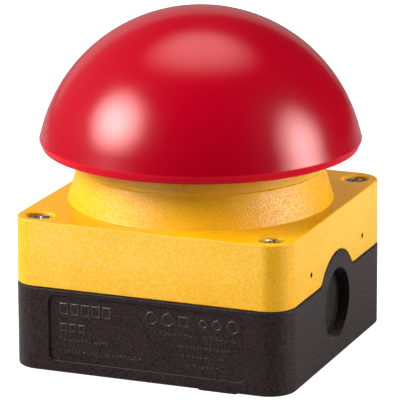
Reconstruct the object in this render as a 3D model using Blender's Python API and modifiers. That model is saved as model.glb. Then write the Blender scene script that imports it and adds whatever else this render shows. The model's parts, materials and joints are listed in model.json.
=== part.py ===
"""Emergency stop button for palm or foot: a red mushroom head on a square enclosure.

Frame: +Z up, origin under the centre of the enclosure at the height of its wall pads, metres.
-Y is the face with the marking panel, and the cable entries are in the +X and -X faces.
Pressing the head moves it, the plunger, the pressure plate and both contact plungers down by TRAVEL.
"""

import math

import bmesh
import bpy
from mathutils import Matrix

MM = 0.001
GAP = 0.3 * MM  # clearance kept between neighbouring pieces
TRAVEL = 6.0 * MM  # stroke of the head

# Enclosure
HALF = 42.5 * MM  # half the width of the square base
LID_HALF = 42.3 * MM
CORNER = 8.0 * MM
PAD_HEIGHT = 0.5 * MM
FLOOR_TOP = 3.5 * MM
SEAM_Z = 25.0 * MM
SEAM_GAP = 0.35 * MM
LID_TOP = 44.7 * MM
LID_ROOF = 41.5 * MM  # inside of the lid's top plate
WALL_INSIDE = 40.1 * MM  # half width inside the outer walls
CAVITY_HALF = 38.2 * MM  # half width of the sealed chamber
CAVITY_CORNER = 27.4 * MM
LIP_HALF = 39.8 * MM
LIP_CORNER = 29.0 * MM
LIP_TOP = 29.0 * MM
LEDGE_BOTTOM = LIP_TOP + 2.0 * MM  # the lid's ledge that presses the gasket
LEDGE_TOP = LEDGE_BOTTOM + 2.5 * MM
SCREW_XY = 35.25 * MM  # lid screws, from the centre lines
POST_RADIUS = 5.0 * MM

# Cable entries
ENTRY_Z = 16.7 * MM
ENTRY_RADIUS = 10.5 * MM
ENTRY_DEPTH = 3.5 * MM
HUMP_RADIUS = 15.5 * MM
HUMP_FILLET = 2.5 * MM

# Marking panel and small holes
PANEL_HALF_X = 30.1 * MM
PANEL_Z = (3.8 * MM, 23.5 * MM)
PANEL_DEPTH = 0.6 * MM
PIN_HOLE_Y = 21.9 * MM
PIN_HOLE_Z = 31.2 * MM
PIN_HOLE_RADIUS = 0.6 * MM

# Collar and guide hub, part of the lid
COLLAR_FOOT_RADIUS = 38.5 * MM
COLLAR_NECK_RADIUS = 35.9 * MM
COLLAR_BAND_RADIUS = 36.4 * MM
COLLAR_BAND_Z = 55.0 * MM
COLLAR_TOP = 61.0 * MM
HUB_RADIUS = 13.0 * MM
HUB_BORE = 10.2 * MM
HUB_BOTTOM = 50.6 * MM
HUB_TOP = 62.8 * MM

# Mushroom head
DOME_RADIUS = 47.85 * MM
DOME_CENTRE_Z = 53.0 * MM
RING_RADIUS = 47.0 * MM  # widest ring of the head
RING_Z = 62.9 * MM
RIM_RADIUS = 45.9 * MM
RIM_Z = 60.4 * MM
HEAD_INNER_RADIUS = 45.2 * MM
BOSS_RADIUS = 13.0 * MM
SPRING_CUP = (19.6 * MM, 21.4 * MM)
BOSS_BOTTOM = 74.3 * MM
SPRING_SEAT_Z = 77.6 * MM
HEAD_SCREW_CIRCLE = 10.2 * MM

# Plunger and latch
PLUNGER_RADIUS = 8.0 * MM
PLUNGER_BOTTOM = 39.6 * MM
FLANGE_Z = (70.2 * MM, 74.0 * MM)
FLANGE_RADIUS = 13.5 * MM
SLIDE_Z = (43.8 * MM, 48.0 * MM)
LATCH_SLOPE = 0.25  # inward travel of a latch slide for each unit of head travel
NECK_TOP = 54.0 * MM
LATCH_HALF_X = 26.0 * MM
LATCH_HALF_Y = 13.0 * MM
LATCH_HOUSING_Z = (43.7 * MM, 50.3 * MM)
LATCH_COVER_Z = (41.4 * MM, 43.4 * MM)
LATCH_SCREW_XY = (16.0 * MM, 9.0 * MM)
PLATE_Z = (37.3 * MM, 39.3 * MM)
PLATE_RADIUS = 14.5 * MM

# Contact blocks
RAIL_Z = (5.9 * MM, 7.9 * MM)
BLOCK_Z = (8.2 * MM, 30.7 * MM)
BLOCK_HALF_X = 21.0 * MM
BLOCK_HALF_Y = 4.8 * MM
BLOCK_WALL = 1.2 * MM
BLOCK_Y = 10.0 * MM
RAIL_SCREW_X = 12.0 * MM
TERMINAL_X = 17.0 * MM
STRIP_THICKNESS = 1.0 * MM
NC_STRIP_Z = 22.0 * MM  # underside of the fixed contacts
NO_STRIP_Z = 19.0 * MM

ROUND = 36  # facets of the large turned pieces


def make_collection(name):
    made = bpy.data.collections.new(name)
    bpy.context.scene.collection.children.link(made)
    return made


def make_material(name, colour, roughness, metallic=0.0):
    made = bpy.data.materials.new(name)
    made.use_nodes = True
    shader = made.node_tree.nodes["Principled BSDF"]
    shader.inputs["Base Color"].default_value = (*colour, 1.0)
    shader.inputs["Roughness"].default_value = roughness
    shader.inputs["Metallic"].default_value = metallic
    return made


def add_object(name, data, material):
    """Links a new object: a part if it has a material, otherwise a hidden helper."""
    made = bpy.data.objects.new(name, data)
    if material:
        PARTS.objects.link(made)
        data.materials.append(material)
    else:
        HELPERS.objects.link(made)
        made.hide_render = True
        made.display_type = "WIRE"
    return made


def mesh_from(name, bm):
    mesh = bpy.data.meshes.new(name)
    bm.to_mesh(mesh)
    bm.free()
    return mesh


def box(name, x, y, z, material=None, corner=0.0, segments=4, edge=0.0):
    """A block between the (low, high) pairs, with its upright edges rounded to corner."""
    bm = bmesh.new()
    size = (x[1] - x[0], y[1] - y[0], z[1] - z[0])
    bmesh.ops.create_cube(bm, size=1.0, matrix=Matrix.Diagonal((*size, 1.0)))
    if corner:
        upright = [e for e in bm.edges if abs(e.verts[0].co.z - e.verts[1].co.z) > size[2] / 2]
        bmesh.ops.bevel(bm, geom=upright, offset=corner, segments=segments, profile=0.5, affect="EDGES")
    made = add_object(name, mesh_from(name, bm), material)
    made.location = ((x[0] + x[1]) / 2, (y[0] + y[1]) / 2, (z[0] + z[1]) / 2)
    if edge:
        bevel = made.modifiers.new("Edge", "BEVEL")
        bevel.width = edge
        bevel.segments = 1
        bevel.limit_method = "ANGLE"
        bevel.angle_limit = math.radians(60)
    return made


def square(name, half, z, material=None, corner=0.0, segments=4, edge=0.0):
    """A square block centred on the axis."""
    return box(name, (-half, half), (-half, half), z, material, corner, segments, edge)


def cylinder(name, radius, z, centre=(0.0, 0.0), material=None, facets=24):
    bm = bmesh.new()
    bmesh.ops.create_cone(
        bm, cap_ends=True, segments=facets, radius1=radius, radius2=radius, depth=z[1] - z[0]
    )
    made = add_object(name, mesh_from(name, bm), material)
    made.location = (*centre, (z[0] + z[1]) / 2)
    if material:
        smooth(made.data)
    return made


def cross_cylinder(name, radius, x, y, z, facets=24):
    """A helper cylinder that lies along X between the (low, high) pair x."""
    made = cylinder(name, radius, (0.0, x[1] - x[0]), facets=facets)
    made.rotation_euler = (0.0, math.pi / 2, 0.0)
    made.location = ((x[0] + x[1]) / 2, y, z)
    return made


def smooth(mesh, degrees=35):
    mesh.shade_smooth()
    mesh.set_sharp_from_angle(angle=math.radians(degrees))


def turned(name, profile, material=None, facets=ROUND, closed=True, centre=(0.0, 0.0)):
    """Turns (radius, z) points about Z. They run down the outer side first."""
    bm = bmesh.new()
    points = [bm.verts.new((radius, 0.0, z)) for radius, z in profile]
    for first, second in zip(points, points[1:] + points[:1] if closed else points[1:]):
        bm.edges.new((first, second))
    made = add_object(name, mesh_from(name, bm), material)
    screw = made.modifiers.new("Turn", "SCREW")
    screw.steps = screw.render_steps = facets
    screw.use_merge_vertices = True
    screw.merge_threshold = 0.00001
    made.location = (*centre, 0.0)
    return made


def as_mesh(curve, material=None):
    """The mesh of a filled curve, with its caps welded, in place of the curve."""
    graph = bpy.context.evaluated_depsgraph_get()
    mesh = bpy.data.meshes.new_from_object(curve.evaluated_get(graph))
    bm = bmesh.new()
    bm.from_mesh(mesh)
    bmesh.ops.remove_doubles(bm, verts=bm.verts, dist=0.000001)
    bmesh.ops.recalc_face_normals(bm, faces=bm.faces)
    bm.to_mesh(mesh)
    bm.free()
    name = curve.name
    matrix = curve.matrix_world.copy()
    bpy.data.objects.remove(curve)
    mesh.materials.clear()
    made = add_object(name, mesh, material)
    made.matrix_world = matrix
    return made


def outline(name, points, thickness, location, rotation, material=None):
    """A flat outline thickened evenly to both sides of its plane, as a mesh."""
    curve = bpy.data.curves.new(name, "CURVE")
    curve.dimensions = "2D"
    curve.fill_mode = "BOTH"
    curve.extrude = thickness / 2
    spline = curve.splines.new("POLY")
    spline.points.add(len(points) - 1)
    for point, (x, y) in zip(spline.points, points):
        point.co = (x, y, 0.0, 1.0)
    spline.use_cyclic_u = True
    made = add_object(name, curve, None)
    made.location = location
    made.rotation_euler = rotation
    bpy.context.view_layer.update()
    return as_mesh(made, material)


def arc(centre, radius, start, end, steps):
    """Points on an arc, with angles in degrees."""
    angles = [math.radians(start + (end - start) * i / steps) for i in range(steps + 1)]
    return [(centre[0] + radius * math.cos(a), centre[1] + radius * math.sin(a)) for a in angles]


def coil(name, radius, wire, length, turns, material, per_turn=12):
    """A compression spring along local +Z from 0 to length, with a closed turn at each end."""
    closed_pitch = 1.3 * wire
    rise = length - wire - 2 * closed_pitch
    count = int(turns * per_turn)
    curve = bpy.data.curves.new(name, "CURVE")
    curve.dimensions = "3D"
    curve.bevel_depth = wire / 2
    curve.bevel_resolution = 1
    curve.use_fill_caps = True
    spline = curve.splines.new("POLY")
    spline.points.add(count)
    for i, point in enumerate(spline.points):
        turn = i / per_turn
        middle = min(max(turn - 1.0, 0.0), turns - 2.0) / (turns - 2.0)
        ends = min(turn, 1.0) + max(turn - (turns - 1.0), 0.0)
        angle = 2 * math.pi * turn
        z = wire / 2 + closed_pitch * ends + rise * middle
        point.co = (radius * math.cos(angle), radius * math.sin(angle), z, 1.0)
    return as_mesh(add_object(name, curve, None), material)


def boolean(target, operation, tools):
    for tool in tools:
        modifier = target.modifiers.new(f"{operation.title()} {tool.name}", "BOOLEAN")
        modifier.operation = operation
        modifier.object = tool


def cut(target, *tools):
    boolean(target, "DIFFERENCE", tools)


def join(target, *tools):
    boolean(target, "UNION", tools)


def corners(x, y):
    return [(sx * x, sy * y) for sx in (-1, 1) for sy in (-1, 1)]


def screw(name, material, centre, head_z, head_radius, shank_radius, tip_z, up=False, facets=16):
    """A screw with a hexagon recess in its head. up turns the head downwards, the tip above it."""
    low, high = min(head_z), max(head_z)
    top, under = (low, high) if up else (high, low)
    profile = [
        (0.0, top), (head_radius, top), (head_radius, under), (shank_radius, under),
        (shank_radius, tip_z), (0.0, tip_z),
    ]
    made = turned(name, profile[::-1] if up else profile, material, facets, False, centre)
    depth = 0.55 * (high - low)
    recess_z = (low - depth, low + depth) if up else (high - depth, high + depth)
    cut(made, cylinder(f"recess_{name}", 0.45 * head_radius, recess_z, centre, facets=6))
    return made


def hump_outline(grow=0.0, bottom=SEAM_Z - 4.0 * MM):
    """The arch over a cable entry in (y, z), grown outwards by grow, with its concave fillets."""
    radius = HUMP_RADIUS + grow
    fillet = HUMP_FILLET - grow
    line = SEAM_Z + grow
    fillet_y = math.sqrt((radius + fillet) ** 2 - (line + fillet - ENTRY_Z) ** 2)
    touch = math.degrees(math.atan2(line + fillet - ENTRY_Z, fillet_y))
    right = arc((fillet_y, line + fillet), fillet, 270, 180 + touch, 3)
    over = arc((0.0, ENTRY_Z), radius, touch, 180 - touch, 14)
    left = [(-y, z) for y, z in reversed(right)]
    return [(fillet_y, bottom), *right, *over[1:-1], *left, (-fillet_y, bottom)]


def make_base():
    base = square("base", HALF, (PAD_HEIGHT, SEAM_Z), BLACK, CORNER, 6, 0.5 * MM)
    cut(base, square("cavity", CAVITY_HALF, (FLOOR_TOP, 2 * SEAM_Z), None, CAVITY_CORNER, 7))
    cells = square("corner_cells", WALL_INSIDE, (FLOOR_TOP, 2 * SEAM_Z), None, CORNER - 2.4 * MM)
    ring_half = WALL_INSIDE + 0.2 * MM
    cut(cells, square("cell_ring", ring_half, (0.0, 3 * SEAM_Z), None, LIP_CORNER - MM, 7))
    for i, centre in enumerate(corners(SCREW_XY, SCREW_XY)):
        cut(cells, cylinder(f"cell_post_{i}", POST_RADIUS, (0.0, 3 * SEAM_Z), centre, facets=16))
    cut(base, cells)
    lip = square("lip", LIP_HALF, (SEAM_Z - MM, LIP_TOP), None, LIP_CORNER, 7)
    cut(lip, square("lip_inside", CAVITY_HALF, (0.0, 2 * SEAM_Z), None, CAVITY_CORNER, 7))
    join(base, lip)
    upright = (math.pi / 2, 0.0, math.pi / 2)
    for side in (-1, 1):
        hump_thickness = HALF - WALL_INSIDE - GAP
        hump_x = side * (HALF - hump_thickness / 2)
        hump = outline(f"hump_{side}", hump_outline(), hump_thickness, (hump_x, 0.0, 0.0), upright)
        backing_x = sorted((side * (HALF - ENTRY_DEPTH), side * (HALF - MM)))
        join(base, hump, cross_cylinder(f"backing_{side}", 12.2 * MM, backing_x, 0.0, ENTRY_Z))
        reach = (side * (HALF - ENTRY_DEPTH), side * (HALF + 2.0 * MM))
        cut(base, cross_cylinder(f"entry_{side}", ENTRY_RADIUS, sorted(reach), 0.0, ENTRY_Z, 32))
    pad = 6.0 * MM
    for i, (x, y) in enumerate([(21.5, -36.0), (-21.5, 36.0), (-21.5, -33.5), (21.5, 33.5)]):
        x, y = x * MM, y * MM
        join(base, box(f"pad_{i}", (x - pad, x + pad), (y - pad, y + pad), (0.0, PAD_HEIGHT + MM)))
        if i < 2:
            inset = math.copysign(3.0 * MM, y)
            cut(base, cylinder(f"fixing_{i}", 2.25 * MM, (-MM, 2.8 * MM), (x, y - inset), facets=16))
    for i, centre in enumerate(corners(SCREW_XY, SCREW_XY)):
        cut(base, cylinder(f"pilot_{i}", 1.95 * MM, (9.0 * MM, 2 * SEAM_Z), centre, facets=12))
    for x in (-RAIL_SCREW_X, RAIL_SCREW_X):
        boss_z = (FLOOR_TOP - MM, RAIL_Z[0] - GAP)
        join(base, cylinder(f"rail_boss_{x:.3f}", 3.6 * MM, boss_z, (x, 0.0), facets=16))
        cut(base, cylinder(f"rail_pilot_{x:.3f}", 1.6 * MM, (1.5 * MM, RAIL_Z[0]), (x, 0.0), facets=12))
    cut(base, outline(
        "panel", rounded_rectangle(PANEL_HALF_X, PANEL_Z, 2.0 * MM), 2 * PANEL_DEPTH,
        (0.0, -HALF, 0.0), (math.pi / 2, 0.0, 0.0),
    ))


def rounded_rectangle(half_x, z, radius):
    low, high = z
    points = []
    for x, y, start in (
        (half_x, high, 0), (-half_x, high, 90), (-half_x, low, 180), (half_x, low, 270),
    ):
        centre = (x - math.copysign(radius, x), y + (radius if y == low else -radius))
        points += arc(centre, radius, start, start + 90, 4)
    return points


def make_lid():
    lid = square("lid", LID_HALF, (SEAM_Z + SEAM_GAP, LID_TOP), YELLOW, CORNER - 0.2 * MM, 6, 0.5 * MM)
    cut(lid, square("lid_skirt", WALL_INSIDE, (0.0, LEDGE_BOTTOM), None, CORNER - 2.4 * MM))
    cut(lid, square("lid_ledge", CAVITY_HALF - 0.4 * MM, (LEDGE_BOTTOM - MM, LEDGE_TOP), None, 27.0 * MM, 7))
    cut(lid, square("lid_chamber", WALL_INSIDE - MM, (LEDGE_TOP, LID_ROOF), None, 5.0 * MM))
    for i, centre in enumerate(corners(SCREW_XY, SCREW_XY)):
        post_z = (SEAM_Z + SEAM_GAP, LID_ROOF + MM)
        join(lid, cylinder(f"lid_post_{i}", POST_RADIUS, post_z, centre, facets=16))
    cut(lid, cylinder("lid_mouth", COLLAR_FOOT_RADIUS - 1.5 * MM, (LEDGE_TOP, LID_TOP + MM), facets=ROUND))
    join(lid, turned("collar", [
        (COLLAR_BAND_RADIUS, COLLAR_TOP), (COLLAR_BAND_RADIUS, COLLAR_BAND_Z + 0.2 * MM),
        (COLLAR_NECK_RADIUS, COLLAR_BAND_Z), (COLLAR_FOOT_RADIUS, LID_TOP + 0.9 * MM),
        (COLLAR_FOOT_RADIUS + 0.8 * MM, LID_TOP - 0.1 * MM),
        (COLLAR_FOOT_RADIUS + 0.8 * MM, LID_ROOF + 0.5 * MM),
        (COLLAR_FOOT_RADIUS - 3.0 * MM, LID_ROOF + 0.5 * MM), (33.0 * MM, COLLAR_BAND_Z),
        (33.0 * MM, COLLAR_TOP - 3.0 * MM), (HUB_RADIUS, COLLAR_TOP - 3.0 * MM),
        (HUB_RADIUS, HUB_BOTTOM), (HUB_BORE, HUB_BOTTOM), (HUB_BORE, HUB_TOP),
        (HUB_RADIUS, HUB_TOP), (HUB_RADIUS, COLLAR_TOP),
    ]))
    for i, centre in enumerate(corners(*LATCH_SCREW_XY)):
        post_z = (HUB_BOTTOM, COLLAR_TOP - 2.0 * MM)
        join(lid, cylinder(f"latch_post_{i}", 3.4 * MM, post_z, centre, facets=16))
        pilot_z = (HUB_BOTTOM - MM, COLLAR_TOP - 4.0 * MM)
        cut(lid, cylinder(f"latch_pilot_{i}", 1.7 * MM, pilot_z, centre, facets=12))
    for i, centre in enumerate(corners(SCREW_XY, SCREW_XY)):
        cut(lid, cylinder(f"lid_bore_{i}", 2.3 * MM, (0.0, LID_TOP), centre, facets=12))
        sink = turned(f"lid_sink_{i}", [
            (0.0, LID_TOP + MM), (4.1 * MM, LID_TOP + MM), (4.1 * MM, LID_TOP),
            (3.7 * MM, LID_TOP - 0.5 * MM), (3.7 * MM, LID_TOP - 3.6 * MM), (0.0, LID_TOP - 3.6 * MM),
        ], facets=16, closed=False, centre=centre)
        cut(lid, sink)
    for side in (-1, 1):
        notch_x = side * (LID_HALF + WALL_INSIDE + MM) / 2
        notch = outline(
            f"notch_{side}", hump_outline(SEAM_GAP), LID_HALF - WALL_INSIDE + 1.2 * MM,
            (notch_x, 0.0, 0.0), (math.pi / 2, 0.0, math.pi / 2),
        )
        cut(lid, notch)
        for y in (-PIN_HOLE_Y, PIN_HOLE_Y):
            reach = sorted((side * (LID_HALF - 1.5 * MM), side * (LID_HALF + MM)))
            name = f"pin_hole_{side}_{y:.3f}"
            cut(lid, cross_cylinder(name, PIN_HOLE_RADIUS, reach, y, PIN_HOLE_Z, 8))


def make_gasket():
    z = (LIP_TOP + GAP, LEDGE_BOTTOM - GAP)
    gasket = square("lid_gasket", LIP_HALF - 0.1 * MM, z, RUBBER, LIP_CORNER, 7)
    inside = CAVITY_HALF + 0.1 * MM
    cut(gasket, square("gasket_inside", inside, (0.0, LID_TOP), None, CAVITY_CORNER, 7))


def make_lid_screws():
    for i, centre in enumerate(corners(SCREW_XY, SCREW_XY), 1):
        head_z = (LID_TOP - 3.3 * MM, LID_TOP - MM)
        screw(f"lid_screw_{i}", STEEL, centre, head_z, 3.4 * MM, 1.65 * MM, 10.0 * MM)


def dome_arc(radius, start, end, steps):
    """Points on a sphere about the head's centre, between two distances from the axis."""
    first, last = math.asin(start / radius), math.asin(end / radius)
    angles = [first + (last - first) * i / steps for i in range(steps + 1)]
    return [(radius * math.sin(a), DOME_CENTRE_Z + radius * math.cos(a)) for a in angles]


def make_head():
    cup_bottom = SPRING_SEAT_Z - 3.0 * MM
    head = turned("mushroom_head", [
        *dome_arc(DOME_RADIUS, 0.0, RING_RADIUS - 0.15 * MM, 10), (RING_RADIUS, RING_Z),
        (RIM_RADIUS, RIM_Z), (RIM_RADIUS - 2.2 * MM, RIM_Z),
        *dome_arc(HEAD_INNER_RADIUS, RIM_RADIUS - 2.0 * MM, SPRING_CUP[1], 4),
        (SPRING_CUP[1], cup_bottom), (SPRING_CUP[0], cup_bottom),
        *dome_arc(HEAD_INNER_RADIUS, SPRING_CUP[0], BOSS_RADIUS, 2),
        (BOSS_RADIUS, BOSS_BOTTOM), (0.0, BOSS_BOTTOM),
    ], RED, closed=False)
    for i in range(3):
        under = dome_arc(HEAD_INNER_RADIUS + 1.4 * MM, 0.0, 33.0 * MM, 5)
        rib = [*under, (33.0 * MM, SPRING_SEAT_Z), (-33.0 * MM, SPRING_SEAT_Z)]
        rib += [(-x, z) for x, z in reversed(under[1:])]
        angle = math.pi * i / 3
        join(head, outline(f"rib_{i}", rib, 1.8 * MM, (0.0, 0.0, 0.0), (math.pi / 2, 0.0, angle)))
    cut(head, cylinder("socket", 5.3 * MM, (BOSS_BOTTOM - MM, 80.5 * MM), facets=24))
    for i, centre in enumerate(head_screw_centres()):
        cut(head, cylinder(f"head_pilot_{i}", 1.6 * MM, (BOSS_BOTTOM - MM, 82.0 * MM), centre, facets=12))


def head_screw_centres():
    return arc((0.0, 0.0), HEAD_SCREW_CIRCLE, 90, 330, 2)


def cone_radius(z):
    """Radius of the latch cone, which narrows upwards from the land under it."""
    return PLUNGER_RADIUS - LATCH_SLOPE * (z - SLIDE_Z[0])


def make_plunger():
    plunger = turned("plunger", [
        (0.0, 80.0 * MM), (4.4 * MM, 80.0 * MM), (5.0 * MM, 79.2 * MM), (5.0 * MM, FLANGE_Z[1]),
        (FLANGE_RADIUS, FLANGE_Z[1]), (FLANGE_RADIUS, FLANGE_Z[0]), (PLUNGER_RADIUS, FLANGE_Z[0]),
        (PLUNGER_RADIUS, NECK_TOP + MM), (cone_radius(NECK_TOP), NECK_TOP + 0.6 * MM),
        (cone_radius(NECK_TOP), NECK_TOP), (PLUNGER_RADIUS, SLIDE_Z[0]),
        (PLUNGER_RADIUS, PLUNGER_BOTTOM), (2.3 * MM, PLUNGER_BOTTOM), (2.3 * MM, NECK_TOP - MM),
        (0.0, NECK_TOP - MM),
    ], NYLON, 32, closed=False)
    for i, centre in enumerate(head_screw_centres()):
        cut(plunger, cylinder(f"flange_hole_{i}", 1.7 * MM, (60.0 * MM, 75.0 * MM), centre, facets=12))
        sink_z = (60.0 * MM, FLANGE_Z[0] + 2.2 * MM)
        cut(plunger, cylinder(f"flange_sink_{i}", 2.0 * MM + GAP, sink_z, centre, facets=16))
        head_z = (FLANGE_Z[0] + 0.2 * MM, FLANGE_Z[0] + 1.9 * MM)
        screw(f"head_screw_{i + 1}", STEEL, centre, head_z, 2.0 * MM, 1.3 * MM, 81.0 * MM, up=True, facets=12)


def make_head_guide():
    bore = PLUNGER_RADIUS + GAP
    outside = HUB_BORE - GAP
    turned("guide_bush", [
        (11.8 * MM, HUB_TOP + 0.9 * MM), (11.8 * MM, HUB_TOP + GAP), (outside, HUB_TOP + GAP),
        (outside, HUB_BOTTOM + 0.5 * MM), (bore, HUB_BOTTOM + 0.5 * MM), (bore, HUB_TOP + 0.9 * MM),
    ], ACETAL, 32)
    wall = 0.8 * MM
    fold = [(12.9, 63.9), (14.6, 65.0), (15.1, 66.4), (14.2, 67.9), (14.2, 69.2)]
    outer = [(r * MM + wall, z * MM) for r, z in reversed(fold)]
    inner = [(r * MM, z * MM) for r, z in fold]
    turned("bellows_seal", [
        (FLANGE_RADIUS + 1.7 * MM, FLANGE_Z[1] - 0.4 * MM), *outer,
        (HUB_RADIUS + 1.9 * MM, 63.2 * MM), (HUB_RADIUS + 1.9 * MM, COLLAR_TOP + GAP),
        (HUB_RADIUS + GAP, COLLAR_TOP + GAP), (HUB_RADIUS + GAP, 63.5 * MM), *inner,
        (FLANGE_RADIUS + GAP, FLANGE_Z[0]), (FLANGE_RADIUS + GAP, FLANGE_Z[1] - 0.4 * MM),
    ], RUBBER, 32)
    turned("seal_clamp_ring", [
        (16.3 * MM, 63.0 * MM), (16.3 * MM, COLLAR_TOP + 0.5 * MM),
        (15.2 * MM, COLLAR_TOP + 0.5 * MM), (15.2 * MM, 63.0 * MM),
    ], STEEL, 32)
    length = SPRING_SEAT_Z - COLLAR_TOP - 2 * GAP
    spring = coil("return_spring", 18.0 * MM, 1.7 * MM, length, 4.5, SPRING_STEEL, 16)
    spring.location = (0.0, 0.0, COLLAR_TOP + GAP)


def make_latch():
    sides = (-LATCH_HALF_X, LATCH_HALF_X), (-LATCH_HALF_Y, LATCH_HALF_Y)
    housing = box("latch_housing", *sides, LATCH_HOUSING_Z, NYLON, 4.0 * MM, 4)
    channel_z = (LATCH_HOUSING_Z[0] - MM, SLIDE_Z[1] + GAP)
    channel_x = 24.0 * MM
    cut(housing, box("latch_channel", (-channel_x, channel_x), (-4.0 * MM, 4.0 * MM), channel_z))
    cover = box("latch_cover", *sides, LATCH_COVER_Z, NYLON, 4.0 * MM, 4)
    for piece in (housing, cover):
        opening_z = (LATCH_COVER_Z[0] - MM, LATCH_HOUSING_Z[1] + MM)
        cut(piece, cylinder(f"opening_{piece.name}", PLUNGER_RADIUS + 0.6 * MM, opening_z, facets=32))
        for i, centre in enumerate(corners(*LATCH_SCREW_XY)):
            cut(piece, cylinder(f"hole_{piece.name}_{i}", 1.7 * MM, opening_z, centre, facets=12))
    for i, centre in enumerate(corners(*LATCH_SCREW_XY), 1):
        head_z = (LATCH_COVER_Z[0] - 2.2 * MM, LATCH_COVER_Z[0] - 0.2 * MM)
        screw(f"latch_screw_{i}", STEEL, centre, head_z, 2.7 * MM, 1.35 * MM, 56.0 * MM, up=True, facets=12)
    back = 17.0 * MM
    low, high = SLIDE_Z
    nose = [(cone_radius(z) + GAP, z) for z in (high, low)]
    profile = [*nose, (back, low), (back, high)]
    for name, turn in (("right", 0.0), ("left", math.pi)):
        outline(
            f"latch_slide_{name}", profile, 7.4 * MM, (0.0, 0.0, 0.0), (math.pi / 2, 0.0, turn), ACETAL
        )
        spring = coil(
            f"latch_spring_{name}", 1.5 * MM, 0.5 * MM, channel_x - back - 2 * GAP, 6, SPRING_STEEL, 8
        )
        side = math.cos(turn)
        spring.location = (side * (back + GAP), 0.0, (low + high) / 2)
        spring.rotation_euler = (0.0, side * math.pi / 2, 0.0)


def make_pressure_plate():
    low, high = PLATE_Z
    turned("pressure_plate", [
        (PLATE_RADIUS - 0.6 * MM, high), (PLATE_RADIUS, high - 0.6 * MM), (PLATE_RADIUS, low),
        (2.3 * MM, low), (2.3 * MM, high),
    ], NYLON, 32)
    turned("centre_washer", [
        (4.6 * MM, low - GAP), (4.6 * MM, low - 1.1 * MM), (2.3 * MM, low - 1.1 * MM), (2.3 * MM, low - GAP),
    ], STEEL, 24)
    head_z = (low - 3.7 * MM, low - 1.4 * MM)
    screw("centre_screw", STEEL, (0.0, 0.0), head_z, 3.5 * MM, 2.0 * MM, 52.0 * MM, up=True)


def make_rail():
    rail = box("contact_rail", (-24.0 * MM, 24.0 * MM), (-16.0 * MM, 16.0 * MM), RAIL_Z, NYLON, 2.0 * MM, 3)
    for i, x in enumerate((-RAIL_SCREW_X, RAIL_SCREW_X), 1):
        cut(rail, cylinder(f"rail_hole_{i}", 1.8 * MM, (0.0, SEAM_Z), (x, 0.0), facets=12))
        head_z = (RAIL_Z[1] + GAP, RAIL_Z[1] + 2.3 * MM)
        screw(f"rail_screw_{i}", STEEL, (x, 0.0), head_z, 2.9 * MM, 1.3 * MM, 2.0 * MM, facets=12)
    for x in (-23.0 * MM, 21.3 * MM):
        for y in (-BLOCK_Y, BLOCK_Y):
            hook_z = (RAIL_Z[0] + 0.5 * MM, 14.0 * MM)
            join(rail, box(f"hook_{x:.3f}_{y:.3f}", (x, x + 1.7 * MM), (y - 3.0 * MM, y + 3.0 * MM), hook_z))


def make_contact_block(kind, y, strip_z, bridge_z, plunger_material):
    """One snap-in contact element: housing, sprung plunger with its bridge, two screw terminals."""
    low, high = BLOCK_Z
    inside_y = BLOCK_HALF_Y - BLOCK_WALL
    wide = (y - BLOCK_HALF_Y, y + BLOCK_HALF_Y)
    narrow = (y - inside_y, y + inside_y)
    housing = box(f"{kind}_housing", (-BLOCK_HALF_X, BLOCK_HALF_X), wide, BLOCK_Z, GREY)
    cut(housing, box(f"{kind}_cavity", (-11.8 * MM, 11.8 * MM), narrow, (low - MM, high - 1.3 * MM)))
    slot = (y - 3.0 * MM - GAP, y + 3.0 * MM + GAP)
    cut(housing, box(f"{kind}_slot", (-3.8 * MM, 3.8 * MM), slot, (high - 3.0 * MM, high + MM)))
    strip = (strip_z, strip_z + STRIP_THICKNESS)
    for side in (-1, 1):
        chamber_x = sorted((side * 13.4 * MM, side * (BLOCK_HALF_X + MM)))
        cut(housing, box(f"{kind}_chamber_{side}", chamber_x, narrow, (12.5 * MM, high + MM)))
        passage_x = sorted((side * 9.0 * MM, side * 15.0 * MM))
        passage_y = (y - 2.6 * MM - GAP, y + 2.6 * MM + GAP)
        passage_z = (strip[0] - GAP, strip[1] + GAP)
        cut(housing, box(f"{kind}_passage_{side}", passage_x, passage_y, passage_z))
        make_terminal(kind, side, y, strip)
    plunger = box(
        f"{kind}_plunger", (-3.5 * MM, 3.5 * MM), (y - 3.0 * MM, y + 3.0 * MM),
        (18.5 * MM, PLATE_Z[0] - GAP), plunger_material,
    )
    window_z = (bridge_z - GAP, bridge_z + STRIP_THICKNESS + GAP)
    window_y = (y - 2.0 * MM, y + 2.0 * MM)
    cut(plunger, box(f"{kind}_window", (-5.0 * MM, 5.0 * MM), window_y, window_z))
    box(
        f"{kind}_bridge", (-11.0 * MM, 11.0 * MM), (y - 1.7 * MM, y + 1.7 * MM),
        (bridge_z, bridge_z + STRIP_THICKNESS), BRASS,
    )
    spring_z = (RAIL_Z[1] + GAP, 18.5 * MM - GAP)
    spring = coil(f"{kind}_spring", 2.3 * MM, 0.6 * MM, spring_z[1] - spring_z[0], 6, SPRING_STEEL, 8)
    spring.location = (0.0, y, spring_z[0])


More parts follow.
